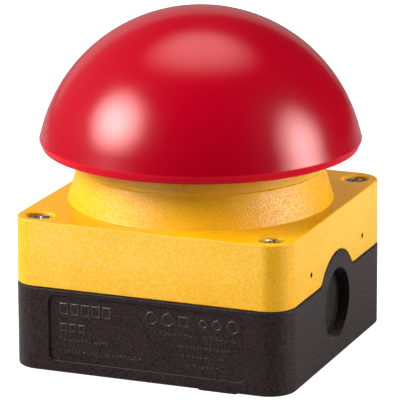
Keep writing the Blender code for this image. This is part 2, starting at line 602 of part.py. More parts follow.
def make_terminal(kind, side, y, strip):
    """A fixed contact strip with its clamp plate and screw, on one end of a contact element."""
    end = "right" if side > 0 else "left"
    centre = (side * TERMINAL_X, y)
    strip_x = sorted((side * 8.6 * MM, side * 20.2 * MM))
    strip_y = (y - 2.6 * MM, y + 2.6 * MM)
    contact = box(f"{kind}_terminal_{end}", strip_x, strip_y, strip, BRASS)
    clamp_z = (strip[1] + GAP, strip[1] + 1.5 * MM)
    clamp_x = sorted((side * (TERMINAL_X - 2.9 * MM), side * (TERMINAL_X + 2.9 * MM)))
    clamp = box(f"{kind}_clamp_{end}", clamp_x, (y - 2.9 * MM, y + 2.9 * MM), clamp_z, STEEL)
    for piece in (contact, clamp):
        cut(piece, cylinder(f"bore_{piece.name}", 1.9 * MM, (0.0, LID_TOP), centre, facets=12))
    head_z = (clamp_z[1] + GAP, clamp_z[1] + 2.5 * MM)
    tip = strip[0] - 5.0 * MM
    screw(f"{kind}_terminal_screw_{end}", STEEL, centre, head_z, 2.7 * MM, 1.6 * MM, tip, facets=12)


for leftover in list(bpy.data.objects):
    bpy.data.objects.remove(leftover)
PARTS = make_collection("Emergency stop button")
HELPERS = make_collection("Cutters and joined shapes")

RED = make_material("Red head plastic", (0.50, 0.002, 0.010), 0.18)
YELLOW = make_material("Yellow lid plastic", (0.92, 0.50, 0.02), 0.45)
BLACK = make_material("Black base plastic", (0.020, 0.017, 0.018), 0.50)
NYLON = make_material("Black nylon", (0.025, 0.025, 0.027), 0.45)
ACETAL = make_material("White acetal", (0.80, 0.79, 0.75), 0.35)
GREY = make_material("Grey contact housing", (0.30, 0.31, 0.32), 0.50)
GREEN = make_material("Green plunger plastic", (0.02, 0.28, 0.08), 0.40)
SIGNAL_RED = make_material("Red plunger plastic", (0.45, 0.01, 0.01), 0.40)
RUBBER = make_material("Seal rubber", (0.03, 0.03, 0.03), 0.80)
STEEL = make_material("Zinc plated steel", (0.70, 0.70, 0.68), 0.30, 1.0)
SPRING_STEEL = make_material("Spring steel", (0.55, 0.55, 0.55), 0.35, 1.0)
BRASS = make_material("Brass", (0.80, 0.60, 0.28), 0.30, 1.0)

make_base()
make_lid()
make_gasket()
make_lid_screws()
make_head()
make_plunger()
make_head_guide()
make_latch()
make_pressure_plate()
make_rail()
make_contact_block("no", -BLOCK_Y, NO_STRIP_Z, NO_STRIP_Z + STRIP_THICKNESS + TRAVEL + GAP, GREEN)
make_contact_block("nc", BLOCK_Y, NC_STRIP_Z, NC_STRIP_Z - STRIP_THICKNESS - GAP, SIGNAL_RED)
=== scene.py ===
"""Looks of the emergency stop button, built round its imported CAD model.

Shapes are worked out in millimetres and turned into metres as each piece is finished.
"""

import json
import math
import random

import bmesh
import bpy
from mathutils import Matrix, Vector


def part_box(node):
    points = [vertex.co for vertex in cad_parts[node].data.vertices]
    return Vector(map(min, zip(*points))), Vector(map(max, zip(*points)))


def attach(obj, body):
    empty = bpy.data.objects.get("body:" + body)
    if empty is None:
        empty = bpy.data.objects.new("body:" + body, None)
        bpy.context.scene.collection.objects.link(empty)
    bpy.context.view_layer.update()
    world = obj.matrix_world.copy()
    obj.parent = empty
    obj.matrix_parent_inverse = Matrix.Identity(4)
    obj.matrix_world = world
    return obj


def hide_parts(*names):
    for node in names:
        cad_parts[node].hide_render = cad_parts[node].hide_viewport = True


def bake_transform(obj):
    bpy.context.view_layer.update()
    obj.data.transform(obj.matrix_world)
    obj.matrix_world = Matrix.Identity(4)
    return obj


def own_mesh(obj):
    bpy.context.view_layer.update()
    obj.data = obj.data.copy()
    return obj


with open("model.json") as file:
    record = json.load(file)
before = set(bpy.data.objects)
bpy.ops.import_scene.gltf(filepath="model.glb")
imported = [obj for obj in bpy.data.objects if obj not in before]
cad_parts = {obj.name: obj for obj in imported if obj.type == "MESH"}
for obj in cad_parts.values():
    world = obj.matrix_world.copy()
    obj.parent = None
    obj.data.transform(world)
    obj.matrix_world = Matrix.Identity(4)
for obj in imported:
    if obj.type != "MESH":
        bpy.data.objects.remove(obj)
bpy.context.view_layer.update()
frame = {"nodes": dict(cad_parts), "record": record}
MM = 0.001


def cad_box(node):
    """A CAD node's lowest and highest corners, in millimetres."""
    low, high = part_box(node)
    return Vector(low) / MM, Vector(high) / MM


BASE_LOW, BASE_HIGH = cad_box("base")
LID_LOW, LID_HIGH = cad_box("lid")
HEAD_LOW, HEAD_HIGH = cad_box("mushroom_head")

# Enclosure
HALF = BASE_HIGH.x
LID_HALF = 42.4
STRAIGHT = 34.5  # half length of the straight part of each side
CORNER = HALF - STRAIGHT
CELL_CORNER = CORNER - 2.4
PAD_HEIGHT = 0.5
FLOOR_TOP = 3.5
SEAM_Z = 25.0
SEAM_GAP = LID_LOW.z - SEAM_Z
LID_TOP = 44.7
LID_ROOF = 41.5
WALL_INSIDE = 40.1
CAVITY_HALF = 38.2
CAVITY_CORNER = 27.4
LIP_HALF = 39.8
LIP_CORNER = 29.0
LIP_TOP = 29.0
LEDGE_BOTTOM = 31.0
LEDGE_TOP = 33.5
LEDGE_CORNER = 27.0
SCREW_XY = 35.25
POST_RADIUS = 5.0
PILOT_RADIUS = 1.95
PAD_XY = ((21.5, -36.0), (-21.5, 36.0), (-21.5, -33.5), (21.5, 33.5))
FIXING_XY = ((21.5, -33.0), (-21.5, 33.0))
PAD_HALF = 6.0
FIXING_RADIUS = 2.25
RAIL_X = 12.0
RAIL_BOSS_RADIUS = 3.6
RAIL_BOSS_TOP = 5.6
RAIL_PILOT_RADIUS = 1.6

# Cable entries
ENTRY_Z = 16.7
ENTRY_RADIUS = 10.5
ENTRY_DEPTH = 3.5
HUMP_RADIUS = BASE_HIGH.z - ENTRY_Z
HUMP_FILLET = 2.5
BACKING_RADIUS = 12.2

# Marking panel and small holes
PANEL_HALF_X = 30.1
PANEL_Z = (3.8, 23.5)
PANEL_DEPTH = 0.6
PANEL_CORNER = 2.2
PANEL_FLOOR_Y = PANEL_DEPTH - HALF
RIDGE_SLOPE = 0.62
BAR_WIDTH = 0.42
PIN_HOLE_Y = 21.9
PIN_HOLE_Z = 31.2
PIN_HOLE_RADIUS = 0.78
PIN_HOLE_DEPTH = 4.0

# Collar and hub
COLLAR_TOP = 61.0
HUB_RADIUS = 13.0
HUB_BORE = 10.2
HUB_BOTTOM = 50.6
HUB_TOP = LID_HIGH.z
LATCH_SCREW_XY = (16.0, 9.0)
LATCH_POST_RADIUS = 3.4
LATCH_PILOT_RADIUS = 1.7
CHAMBER_TOP = 58.0

# Mushroom head
DOME_RADIUS = 47.85
DOME_CENTRE_Z = HEAD_HIGH.z - DOME_RADIUS
DOME_EDGE = 46.0
RIM_Z = HEAD_LOW.z
HEAD_INNER_RADIUS = 45.2
BOSS_RADIUS = 13.0
BOSS_BOTTOM = 74.3
SPRING_CUP = (19.6, 21.4)
SPRING_SEAT_Z = 77.6
RIB_HALF_LENGTH = 33.0
RIB_HALF_WIDTH = 0.9
STEM_SOCKET_RADIUS = 5.3
HEAD_SCREW_CIRCLE = 10.2
HEAD_PILOT_RADIUS = 1.6

# Lid screws
SCREW_RAISE = 0.35  # how far the heads stand above the CAD's, to read as in the photo
SCREW_HEAD = 2.65
SCREW_SEAT_DEPTH = 3.6
SHANK_RADIUS = 1.65
THREAD_RADII = (1.62, 1.28)
THREAD_PITCH = 0.7

SHARP_ANGLE = 33.0  # edges that bend more than this stay crisp, in degrees


# ----------------------------------------------------------------- shape tools


def arc(centre, radius, start, end, steps):
    """Points on a flat arc, with angles in degrees."""
    angles = [math.radians(start + (end - start) * i / steps) for i in range(steps + 1)]
    return [(centre[0] + radius * math.cos(a), centre[1] + radius * math.sin(a)) for a in angles]


def fillet(before, corner, after, radius, steps):
    """The arc that rounds one corner of a flat outline."""
    before, corner, after = Vector(before[:2]), Vector(corner[:2]), Vector(after[:2])
    first, second = (before - corner).normalized(), (after - corner).normalized()
    half = first.angle(second) / 2
    reach = radius / math.tan(half)
    centre = corner + (first + second).normalized() * radius / math.sin(half)
    start = corner + first * reach - centre
    end = corner + second * reach - centre
    turn = start.angle(end)
    points = []
    for i in range(steps + 1):
        share = i / steps
        mixed = (start * math.sin((1 - share) * turn) + end * math.sin(share * turn)) / math.sin(turn)
        points.append(tuple(centre + mixed))
    return points


def rounded(corners, steps=4, closed=False):
    """Points (x, y) or (x, y, radius) turned into an outline with the given corners rounded."""
    points = []
    count = len(corners)
    for i, corner in enumerate(corners):
        inner = closed or 0 < i < count - 1
        if len(corner) == 3 and inner:
            points += fillet(corners[i - 1], corner, corners[(i + 1) % count], corner[2], steps)
        else:
            points.append(tuple(corner[:2]))
    return points


def square(half, corner, z, steps=10):
    """A closed ring of points round a square with rounded corners, or a rectangle if half is a pair."""
    half_x, half_y = half if isinstance(half, tuple) else (half, half)
    ring = []
    for sx, sy, start in ((1, 1, 0), (-1, 1, 90), (-1, -1, 180), (1, -1, 270)):
        centre = (sx * (half_x - corner), sy * (half_y - corner))
        ring += [(x, y, z) for x, y in arc(centre, corner, start, start + 90, steps)]
    return ring


def rectangle(half_x, half_y, z):
    return [(sx * half_x, sy * half_y, z) for sx, sy in ((1, 1), (-1, 1), (-1, -1), (1, -1))]


def circle(radius, z, steps=48):
    return [(x, y, z) for x, y in arc((0.0, 0.0), radius, 0, 360 * (steps - 1) / steps, steps - 1)]


def skin(bm, rows, closed=False):
    """Adds the faces between neighbouring rows of vertices, and from the last to the first if closed."""
    for lower, upper in zip(rows, rows[1:] + rows[:1] if closed else rows[1:]):
        for i in range(len(lower)):
            j = (i + 1) % len(lower)
            bm.faces.new((lower[i], lower[j], upper[j], upper[i]))


def loft(rings):
    """A capped bmesh skin over rings that have the same number of points."""
    bm = bmesh.new()
    rows = [[bm.verts.new(point) for point in ring] for ring in rings]
    skin(bm, rows)
    bm.faces.new(list(reversed(rows[0])))
    bm.faces.new(rows[-1])
    return bm


def revolve(profile, steps=64, closed=False):
    """A bmesh turned about Z from (radius, z) points. Points on the axis become single vertices."""
    bm = bmesh.new()
    rows = []
    for radius, z in profile:
        if radius < 1e-6:
            rows.append([bm.verts.new((0.0, 0.0, z))])
        else:
            rows.append([bm.verts.new(point) for point in circle(radius, z, steps)])
    for lower, upper in zip(rows, rows[1:] + rows[:1] if closed else rows[1:]):
        for i in range(steps):
            j = (i + 1) % steps
            if len(lower) == 1 and len(upper) == 1:
                continue
            if len(lower) == 1:
                bm.faces.new((lower[0], upper[j], upper[i]))
            elif len(upper) == 1:
                bm.faces.new((lower[i], lower[j], upper[0]))
            else:
                bm.faces.new((lower[i], lower[j], upper[j], upper[i]))
    return bm


def shape(name, bm, move=(0.0, 0.0, 0.0), turn=None):
    """An object from a bmesh, welded and facing outwards, moved by millimetres after a turn."""
    bmesh.ops.remove_doubles(bm, verts=bm.verts, dist=0.002)
    bmesh.ops.recalc_face_normals(bm, faces=bm.faces)
    if bm.calc_volume(signed=True) < 0:
        bmesh.ops.reverse_faces(bm, faces=bm.faces)
    if turn:
        bm.transform(turn)
    bm.transform(Matrix.Translation(move))
    mesh = bpy.data.meshes.new(name)
    bm.to_mesh(mesh)
    bm.free()
    made = bpy.data.objects.new(name, mesh)
    bpy.context.scene.collection.objects.link(made)
    return made


def cylinder(name, radius, z, centre=(0.0, 0.0), steps=32):
    return shape(name, loft([circle(radius, z[0], steps), circle(radius, z[1], steps)]), (*centre, 0.0))


def apply(target):
    """Replaces the target's mesh with what its modifiers make of it."""
    graph = bpy.context.evaluated_depsgraph_get()
    mesh = bpy.data.meshes.new_from_object(target.evaluated_get(graph))
    target.modifiers.clear()
    old = target.data
    target.data = mesh
    bpy.data.meshes.remove(old)


def boolean(target, operation, tools):
    for tool in tools:
        modifier = target.modifiers.new("Boolean", "BOOLEAN")
        modifier.operation = operation
        modifier.solver = "EXACT"
        modifier.object = tool
    bpy.context.view_layer.update()
    apply(target)
    for tool in tools:
        bpy.data.objects.remove(tool)


def cut(target, *tools):
    boolean(target, "DIFFERENCE", tools)


def join(target, *tools):
    boolean(target, "UNION", tools)


def clean(mesh):
    """Welds the slivers that cutting leaves and drops loose bits."""
    bm = bmesh.new()
    bm.from_mesh(mesh)
    bmesh.ops.remove_doubles(bm, verts=bm.verts, dist=0.003)
    bmesh.ops.dissolve_degenerate(bm, dist=0.002, edges=bm.edges)
    bm.to_mesh(mesh)
    bm.free()


def dress(piece, plain, special, chosen):
    """Puts a plain material on a piece, and a special one on the faces whose centres are chosen."""
    piece.data.materials.append(plain)
    piece.data.materials.append(special)
    for face in piece.data.polygons:
        if chosen(face.center):
            face.material_index = 1


def finish(piece, material, body, slot, *replaced):
    """Gives a piece its material unless it has one, its soft shading and its place in the CAD frame."""
    mesh = piece.data
    mesh.transform(Matrix.Scale(MM, 4))
    if not mesh.materials:
        mesh.materials.append(material)
    mesh.shade_smooth()
    mesh.set_sharp_from_angle(angle=math.radians(SHARP_ANGLE))
    normals = piece.modifiers.new("Normals", "WEIGHTED_NORMAL")
    normals.keep_sharp = True
    normals.weight = 60
    if body:
        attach(piece, body)
    if replaced:
        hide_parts(*replaced)


def corners(x, y):
    return [(sx * x, sy * y) for sx in (-1, 1) for sy in (-1, 1)]


SCREW_PLACES = corners(SCREW_XY, SCREW_XY)
LATCH_PLACES = corners(*LATCH_SCREW_XY)


# ------------------------------------------------------------------- materials


# The colour sockets of a Mix node, whose names its number and vector sockets share
MIX_SHARE, MIX_FIRST, MIX_SECOND, MIX_RESULT = 0, 6, 7, 2
BLACK_TINT = (1.0, 0.86, 0.87, 1.0)


def set_stops(node, stops):
    """Gives a colour ramp its (position, colour) stops."""
    elements = node.color_ramp.elements
    while len(elements) < len(stops):
        elements.new(0.5)
    for element, (position, colour) in zip(elements, stops):
        element.position = position
        element.color = (*colour, 1.0)


class Nodes:
    """Short ways to add nodes to one material."""

    def __init__(self, name):
        self.material = bpy.data.materials.new(name)
        self.material.use_nodes = True
        self.tree = self.material.node_tree
        self.shader = self.tree.nodes["Principled BSDF"]
        coordinates = self.add("ShaderNodeTexCoord")
        self.place = coordinates.outputs["Object"]
        self.normal = coordinates.outputs["Normal"]

    def add(self, kind, **settings):
        node = self.tree.nodes.new(kind)
        for key, value in settings.items():
            setattr(node, key, value)
        return node

    def link(self, source, target):
        self.tree.links.new(source, target)

    def feed(self, name, source):
        """Drives one of the shader's inputs."""
        self.link(source, self.shader.inputs[name])

    def split(self, vector):
        """The X, Y and Z outputs of a vector."""
        node = self.add("ShaderNodeSeparateXYZ")
        self.link(vector, node.inputs["Vector"])
        return node.outputs

    def noise(self, per_mm, detail=2.0, roughness=0.5, stretch=None):
        """Noise with about per_mm features in each millimetre."""
        node = self.add("ShaderNodeTexNoise")
        node.inputs["Scale"].default_value = per_mm / MM
        node.inputs["Detail"].default_value = detail
        node.inputs["Roughness"].default_value = roughness
        place = self.place
        if stretch:
            mapping = self.add("ShaderNodeMapping")
            mapping.inputs["Scale"].default_value = stretch
            self.link(place, mapping.inputs["Vector"])
            place = mapping.outputs["Vector"]
        self.link(place, node.inputs["Vector"])
        return node.outputs["Fac"]

    def ramp(self, source, stops):
        """A colour ramp from (position, colour) stops."""
        node = self.add("ShaderNodeValToRGB")
        set_stops(node, stops)
        self.link(source, node.inputs["Fac"])
        return node.outputs["Color"]

    def between(self, source, first, last, low, high):
        """The source's range from first to last mapped to low and high, and held beyond it."""
        node = self.add("ShaderNodeMapRange")
        limits = {"From Min": first, "From Max": last, "To Min": low, "To Max": high}
        for key, value in limits.items():
            node.inputs[key].default_value = value
        self.link(source, node.inputs["Value"])
        return node.outputs["Result"]

    def spread(self, source, low, high):
        """A noise's middle range mapped to low and high."""
        return self.between(source, 0.3, 0.7, low, high)

    def calculate(self, operation, *sources):
        node = self.add("ShaderNodeMath", operation=operation)
        for source, socket in zip(sources, node.inputs):
            self.link(source, socket)
        return node.outputs["Value"]

    def mix(self, first, second, share):
        """Mixes two colours; each may be a socket or a plain colour, and the share a socket or a number."""
        node = self.add("ShaderNodeMix", data_type="RGBA")
        for index, value in ((MIX_FIRST, first), (MIX_SECOND, second), (MIX_SHARE, share)):
            socket = node.inputs[index]
            if isinstance(value, bpy.types.NodeSocket):
                self.link(value, socket)
            else:
                socket.default_value = value if isinstance(value, float) else (*value, 1.0)
        return node.outputs[MIX_RESULT]

    def bumps(self, *layers):
        """Stacks (height, depth in mm, strength) bumps on the shader; a strength may be a socket."""
        before = None
        for height, depth, strength in layers:
            node = self.add("ShaderNodeBump")
            node.inputs["Distance"].default_value = depth * MM
            if isinstance(strength, float):
                node.inputs["Strength"].default_value = strength
            else:
                self.link(strength, node.inputs["Strength"])
            self.link(height, node.inputs["Height"])
            if before:
                self.link(before, node.inputs["Normal"])
            before = node.outputs["Normal"]
        self.feed("Normal", before)

    def set(self, **values):
        for key, value in values.items():
            self.shader.inputs[key.replace("_", " ")].default_value = value


def glossy_red():
    """Polished red on the dome, with a satin band round the rim that is painted a brighter red as painted
    light from below.
    """
    made = Nodes("Red moulded head")
    cloud = made.noise(0.035, 3.0)
    dome = made.ramp(cloud, [(0.3, (0.310, 0.0, 0.0080)), (0.7, (0.342, 0.0, 0.0095))])
    level = made.split(made.place)
    rim = made.between(level["Z"], (RIM_Z + 2.7) * MM, (RIM_Z + 2.2) * MM, 0.0, 1.0)
    # painted light: the rim band gets a brighter red than the dome
    made.feed("Base Color", made.mix(dome, (0.58, 0.0, 0.015), rim))
    handling = made.spread(made.noise(0.12, 5.0, 0.6), 0.17, 0.21)
    satin = made.between(rim, 0.0, 1.0, 0.1, 0.42)
    made.feed("Roughness", made.calculate("MAXIMUM", handling, satin))
    made.feed("Specular IOR Level", made.between(rim, 0.0, 1.0, 0.5, 0.12))
    made.set(IOR=1.65, Specular_Tint=(1.0, 0.53, 0.51, 1.0))
    made.bumps((made.noise(0.08, 1.0), 0.05, 0.10), (made.noise(2.2, 2.0), 0.006, 0.08))
    return made.material


def grained_yellow():
    """Deep yellow with an eroded grain; the flat walls are painted paler as painted light, fading out
    towards the seam.
    """
    made = Nodes("Yellow moulded lid")
    cloud = made.noise(0.10, 5.0, 0.62)
    speck = made.between(made.noise(1.15, 4.0, 0.62), 0.34, 0.66, 0.0, 1.0)
    deep = made.ramp(cloud, [(0.25, (0.69, 0.325, 0.000)), (0.75, (0.77, 0.380, 0.000))])
    deep = made.mix(deep, made.mix((0.68, 0.315, 0.0), (0.79, 0.400, 0.002), speck), 0.3)
    # painted light: pale is the washed-out look of the brightly lit walls
    pale = made.mix((0.755, 0.428, 0.000), (0.82, 0.482, 0.100), speck)
    facing = made.split(made.normal)
    sideways = [made.calculate("ABSOLUTE", facing[axis]) for axis in ("X", "Y")]
    sideways = made.calculate("MAXIMUM", *sideways)
    # painted light: the pale colour goes on the flat walls only, fades towards the seam, comes in soft
    # patches and grows away from the diagonal through the front-right corner
    flat = made.between(sideways, 0.965, 0.999, 0.0, 1.0)
    grain = made.between(facing["Z"], 0.5, 0.9, 0.85, 0.05)
    level = made.split(made.place)
    height = made.between(level["Z"], SEAM_Z * MM, 36.0 * MM, 0.35, 1.0)
    patches = made.spread(made.noise(0.05, 4.0, 0.6), 0.6, 1.1)
    diagonal = made.calculate("ABSOLUTE", made.calculate("ADD", level["X"], level["Y"]))
    away = made.between(diagonal, 0.0, 60.0 * MM, 0.50, 1.15)
    share = flat
    for part in (height, patches, away):
        share = made.calculate("MULTIPLY", share, part)
    made.feed("Base Color", made.mix(deep, pale, share))
    made.feed("Roughness", made.spread(made.noise(1.4, 4.0, 0.6), 0.29, 0.46))
    made.feed("Specular IOR Level", made.between(made.noise(1.8, 3.0, 0.6), 0.42, 0.62, 0.10, 1.0))
    made.set(IOR=1.50, Specular_IOR_Level=0.6)
    made.bumps((made.noise(0.4, 2.0), 0.04, 0.20), (made.noise(2.1, 3.0, 0.65), 0.15, grain))
    return made.material


def grained_black(name, lightest, grain, roughness, gloss, sheen=0.0):
    """Speckled, eroded black with a faint warm reflection."""
    made = Nodes(name)
    cloud = made.noise(0.16, 5.0, 0.6)
    dark = tuple(0.35 * channel for channel in lightest)
    colour = made.ramp(cloud, [(0.3, dark), (0.7, lightest)])
    speck = made.between(made.noise(2.4, 3.0, 0.6), 0.42, 0.66, 0.0, 0.6)
    chalky = tuple(4.5 * channel for channel in lightest)
    made.feed("Base Color", made.mix(colour, chalky, speck))
    made.feed("Roughness", made.spread(made.noise(1.2, 4.0, 0.65), *roughness))
    made.feed("Specular IOR Level", made.between(made.noise(1.5, 6.0, 0.75), 0.36, 0.64, *gloss))
    made.set(IOR=1.50, Specular_Tint=BLACK_TINT, Specular_IOR_Level=sum(gloss) / 2)
    made.set(Sheen_Weight=sheen, Sheen_Roughness=0.4, Sheen_Tint=(1.0, 0.90, 0.90, 1.0))
    made.bumps((made.noise(0.35, 3.0), 0.07, 0.35), (made.noise(2.2, 3.0, 0.7), 0.10, grain))
    return made.material


def eroded_entry():
    """Pitted black on the closed floors of the cable entries, with painted shade darkening them towards
    their edge.
    """
    made = Nodes("Eroded entry floor with painted shade")
    level = made.split(made.place)
    reach = ENTRY_RADIUS + 2.0
    squares = []
    for axis, centre in (("Y", 0.0), ("Z", ENTRY_Z)):
        first, last = (centre - reach) * MM, (centre + reach) * MM
        offset = made.between(level[axis], first, last, -reach, reach)
        squares.append(made.calculate("MULTIPLY", offset, offset))
    away = made.calculate("SQRT", made.calculate("ADD", *squares))
    # painted shade: the floor's colour and reflection fade from its middle towards the entry's edge
    painted_shade_fade = made.between(away, ENTRY_RADIUS - 2.4, ENTRY_RADIUS - 0.3, 1.0, 0.10)
    pitted = made.between(made.noise(1.0, 6.0, 0.75), 0.40, 0.62, 0.0, 1.0)
    share = made.calculate("MULTIPLY", pitted, painted_shade_fade)
    made.feed("Base Color", made.mix((0.0006, 0.0005, 0.0005), (0.034, 0.028, 0.028), share))
    gloss = made.between(made.noise(1.5, 6.0, 0.75), 0.36, 0.64, 0.0, 0.60)
    made.feed("Specular IOR Level", made.calculate("MULTIPLY", gloss, painted_shade_fade))
    made.feed("Roughness", made.spread(made.noise(1.2, 4.0, 0.65), 0.30, 0.60))
    made.set(IOR=1.50, Specular_Tint=BLACK_TINT, Specular_IOR_Level=0.25)
    made.bumps((made.noise(0.35, 3.0), 0.07, 0.35), (made.noise(1.1, 4.0, 0.7), 0.20, 1.0))
    return made.material


def plated_steel():
    """Mottled bright zinc."""
    made = Nodes("Zinc plated steel")
    cloud = made.noise(1.1, 4.0, 0.65)
    colour = made.ramp(cloud, [(0.42, (0.06, 0.055, 0.05)), (0.57, (0.95, 0.94, 0.92))])
    made.feed("Base Color", colour)
    made.feed("Roughness", made.spread(made.noise(2.5, 4.0, 0.7), 0.10, 0.30))
    made.set(Metallic=1.0)
    made.bumps((made.noise(1.3, 3.0, 0.6), 0.10, 0.8))
    return made.material


def drawn_wire():
    made = Nodes("Drawn spring wire")
    streak = made.noise(0.6, 4.0, 0.6, (1.0, 1.0, 6.0))
    made.feed("Base Color", made.ramp(streak, [(0.3, (0.38, 0.37, 0.36)), (0.7, (0.60, 0.59, 0.58))]))
    made.feed("Roughness", made.spread(streak, 0.24, 0.42))
    made.set(Metallic=1.0)
    made.bumps((made.noise(5.0, 2.0), 0.008, 0.4))
    return made.material


def stamped_brass():
    made = Nodes("Stamped brass")
    cloud = made.noise(0.7, 4.0, 0.6)
    made.feed("Base Color", made.ramp(cloud, [(0.3, (0.66, 0.44, 0.17)), (0.7, (0.84, 0.62, 0.28))]))
    grain = made.noise(1.5, 3.0, 0.6, (0.15, 1.0, 1.0))
    made.feed("Roughness", made.spread(grain, 0.20, 0.40))
    made.set(Metallic=1.0)
    made.bumps((grain, 0.01, 0.4))
    return made.material


def seal_rubber():
    made = Nodes("Seal rubber")
    cloud = made.noise(0.3, 5.0, 0.6)
    made.feed("Base Color", made.ramp(cloud, [(0.3, (0.014, 0.014, 0.015)), (0.7, (0.028, 0.027, 0.027))]))
    made.feed("Roughness", made.spread(made.noise(1.4, 4.0), 0.58, 0.78))
    made.set(Sheen_Weight=0.15, Sheen_Roughness=0.5)
    made.bumps((made.noise(2.5, 4.0, 0.7), 0.03, 0.5))
    return made.material


def smooth_plastic(name, low, high, roughness):
    made = Nodes(name)
    made.feed("Base Color", made.ramp(made.noise(0.12, 4.0), [(0.3, low), (0.7, high)]))
    made.feed("Roughness", made.spread(made.noise(0.8, 4.0, 0.6), roughness - 0.05, roughness + 0.07))
    made.set(IOR=1.49)
    made.bumps((made.noise(0.4, 2.0), 0.03, 0.15), (made.noise(3.0, 3.0, 0.6), 0.02, 0.25))
    return made.material


MATERIALS = {
    "red_plastic": glossy_red(),
    "yellow_plastic": grained_yellow(),
    "black_plastic": grained_black(
        "Black moulded base", (0.0078, 0.0040, 0.0044), 0.7, (0.34, 0.52), (0.02, 0.52), sheen=0.2,
    ),
    "black_nylon": grained_black("Black nylon", (0.022, 0.022, 0.024), 0.30, (0.40, 0.55), (0.3, 0.6)),
    "white_acetal": smooth_plastic("White acetal", (0.70, 0.69, 0.64), (0.80, 0.79, 0.75), 0.30),
    "grey_plastic": smooth_plastic("Grey contact housing", (0.24, 0.25, 0.26), (0.31, 0.32, 0.33), 0.45),
    "green_plastic": smooth_plastic(
        "Green contact plunger", (0.015, 0.24, 0.06), (0.025, 0.30, 0.09), 0.35,
    ),
    "contact_red_plastic": smooth_plastic(
        "Red contact plunger", (0.40, 0.008, 0.008), (0.48, 0.012, 0.012), 0.35,
    ),
    "seal_rubber": seal_rubber(),
    "zinc_steel": plated_steel(),
    "spring_steel": drawn_wire(),
    "brass": stamped_brass(),
}
# painted highlight: the raised marks are coloured lighter than the base, and are glossier
RAISED_MARKS = grained_black(
    "Raised marks with painted highlight", (0.016, 0.012, 0.0125), 0.2, (0.26, 0.44), (0.15, 0.70),
)
# painted shade: near-black colour on the walls of the pin holes
PIN_HOLE_PAINTED_SHADE = grained_black(
    "Painted shade in the pin holes", (0.010, 0.006, 0.003), 0.3, (0.6, 0.8), (0.0, 0.2),
)
ENTRY_FLOOR = eroded_entry()


# ------------------------------------------------------- enclosure wall shapes


def hump_curve(grow):
    """(y, z) along the seam on a cable entry side, grown away from the base, from -y to +y."""
    radius = HUMP_RADIUS + grow
    turn = HUMP_FILLET - grow
    centre_z = SEAM_Z + HUMP_FILLET
    centre_y = math.sqrt((HUMP_RADIUS + HUMP_FILLET) ** 2 - (centre_z - ENTRY_Z) ** 2)
    touch = math.degrees(math.atan2(centre_z - ENTRY_Z, centre_y))
    flat = [(STRAIGHT + (centre_y - STRAIGHT) * i / 9, SEAM_Z + grow) for i in range(9)]
    bend = arc((centre_y, centre_z), turn, 270, 180 + touch, 5)
    over = arc((0.0, ENTRY_Z), radius, touch, 90, 16)
    right = flat + bend + over[1:]
    return [(-y, z) for y, z in right] + right[-2::-1]


def wall_ring(half, depth, z=0.0, grow=None):
    """A ring round the walls at a depth under their face, following the seam if grow is given."""
    x = half - depth
    radius = half - STRAIGHT - depth
    entry_side = hump_curve(0.0 if grow is None else grow)
    if grow is None:
        entry_side = [(y, z) for y, _ in entry_side]
    else:
        z = SEAM_Z + grow
    plain = [STRAIGHT - 2 * STRAIGHT * i / 24 for i in range(25)]
    ring = []
    for side in (1, -1):
        ring += [(side * x, side * y, level) for y, level in entry_side]
        start = 0 if side > 0 else 180
        centre = (side * STRAIGHT, side * STRAIGHT)
        ring += [(*point, z) for point in arc(centre, radius, start, start + 90, 12)[1:-1]]
        ring += [(side * along, side * x, z) for along in plain]
        centre = (-side * STRAIGHT, side * STRAIGHT)
        ring += [(*point, z) for point in arc(centre, radius, start + 90, start + 180, 12)[1:-1]]
    return ring


def edge_steps(radius, steps=4):
    """(depth, offset) pairs that round an edge from its side face, at 0 depth, to its end face."""
    angles = [math.pi / 2 * i / steps for i in range(steps + 1)]
    return [(radius * (1 - math.cos(a)), radius * (1 - math.sin(a))) for a in angles]


def along_x(side):
    """Turns Z to point out of the +X or -X face."""
    return Matrix.Rotation(side * math.pi / 2, 4, "Y")


def entry_cutter(side):
    """The round recess of a closed cable entry, with a slightly flared mouth."""
    bottom = HALF - ENTRY_DEPTH
    mouth = HALF - 0.05
    flared = ENTRY_RADIUS + 0.12
    profile = rounded([
        (0.0, bottom), (ENTRY_RADIUS - 0.15, bottom, 0.3), (ENTRY_RADIUS, mouth - 0.1),
        (flared, mouth + 0.05), (flared, mouth + 2.0), (0.0, mouth + 2.0),
    ], 3)
    return shape("entry_cutter", revolve(profile, 96), (0.0, 0.0, ENTRY_Z), along_x(side))


def panel_cutter():
    """The shallow marking panel, with a softened floor and rim."""
    middle = (PANEL_Z[0] + PANEL_Z[1]) / 2
    half_z = (PANEL_Z[1] - PANEL_Z[0]) / 2
    rings = []
    steps = (
        (-0.10, PANEL_DEPTH), (0.0, PANEL_DEPTH - 0.12), (0.02, 0.10), (0.14, -0.02), (0.14, -1.0),
    )
    for grow, depth in steps:
        rings.append(square((PANEL_HALF_X + grow, half_z + grow), PANEL_CORNER + grow, -depth))
    turn = Matrix.Rotation(math.pi / 2, 4, "X")
    return shape("panel_cutter", loft(rings), (0.0, -HALF, middle), turn)


